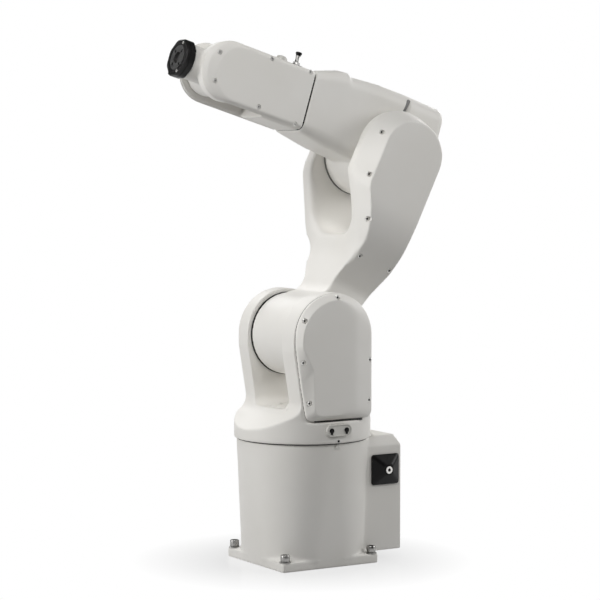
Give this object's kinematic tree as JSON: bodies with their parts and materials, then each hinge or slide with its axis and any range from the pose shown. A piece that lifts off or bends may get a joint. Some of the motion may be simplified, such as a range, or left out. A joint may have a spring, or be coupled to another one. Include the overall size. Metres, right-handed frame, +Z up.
{
  "type": "six-axis industrial robot arm",
  "caption": "Compact bench robot arm with round base, forked shoulder and elbow, rolling forearm, tilting wrist and a bolted tool flange.",
  "frame": {"origin": "middle of the foot plate's underside, on the upright first axis", "axes": "+X the way the arm reaches, +Y the arm's left side, +Z up"},
  "size_m": [0.5286, 0.2445, 0.9128],
  "materials": {
    "arm_paint": "satin pale grey paint",
    "seal_black": "dark joint seal",
    "black_plastic": "black moulded plastic",
    "steel": "bright steel",
    "black_anodised": "black anodised",
    "pale_plastic": "pale plastic",
    "plate_grey": "grey anodised"
  },
  "bodies": {
    "base": {"base_housing": "arm_paint", "waist_seal": "seal_black", "brake_guard": "black_plastic", "brake_button": "steel", "connector_plate": "plate_grey", "power_connector": "steel", "signal_connector": "black_plastic", "network_connector": "steel", "air_ports": "steel"},
    "turret": {"turret_casting": "arm_paint", "shoulder_cover": "arm_paint", "shoulder_far_cover": "arm_paint", "port_plate": "arm_paint", "port_plugs": "black_plastic", "shoulder_seals": "seal_black"},
    "lower_arm": {"lower_arm_casting": "arm_paint", "lower_arm_cover": "arm_paint", "elbow_far_cap": "arm_paint", "elbow_seals": "seal_black"},
    "elbow": {"elbow_housing": "arm_paint", "elbow_rear_cap": "arm_paint", "roll_seal": "seal_black"},
    "forearm": {"forearm_casting": "arm_paint", "wrist_cover_near": "arm_paint", "wrist_cover_far": "arm_paint", "air_fitting": "steel", "socket_cap": "pale_plastic"},
    "wrist": {"tilt_housing": "arm_paint"},
    "flange": {"flange_ring": "black_anodised", "flange_disc": "steel"}
  },
  "joints": [
    {"name": "axis_1", "type": "hinge", "parent": "base", "child": "turret", "pos_m": [0, 0, 0.2196], "axis": [0, 0, 1], "range_deg": [-170, 170]},
    {"name": "axis_2", "type": "hinge", "parent": "turret", "child": "lower_arm", "pos_m": [0, 0, 0.3991], "axis": [0, 1, 0], "range_deg": [-73.93, 136.07]},
    {"name": "axis_3", "type": "hinge", "parent": "lower_arm", "child": "elbow", "pos_m": [-0.15381, 0, 0.71349], "axis": [0, -1, 0], "range_deg": [-61, 209]},
    {"name": "axis_4", "type": "hinge", "parent": "elbow", "child": "forearm", "pos_m": [0.0155, 0, 0.80938], "axis": [0.956, 0, 0.2934], "range_deg": [-270, 270]},
    {"name": "axis_5", "type": "hinge", "parent": "forearm", "child": "wrist", "pos_m": [0.16942, 0, 0.85662], "axis": [0, -1, 0], "range_deg": [-130, 130]},
    {"name": "axis_6", "type": "hinge", "parent": "wrist", "child": "flange", "pos_m": [0.2306, 0, 0.87539], "axis": [0.956, 0, 0.2934], "range_deg": [-400, 400]}
  ]
}
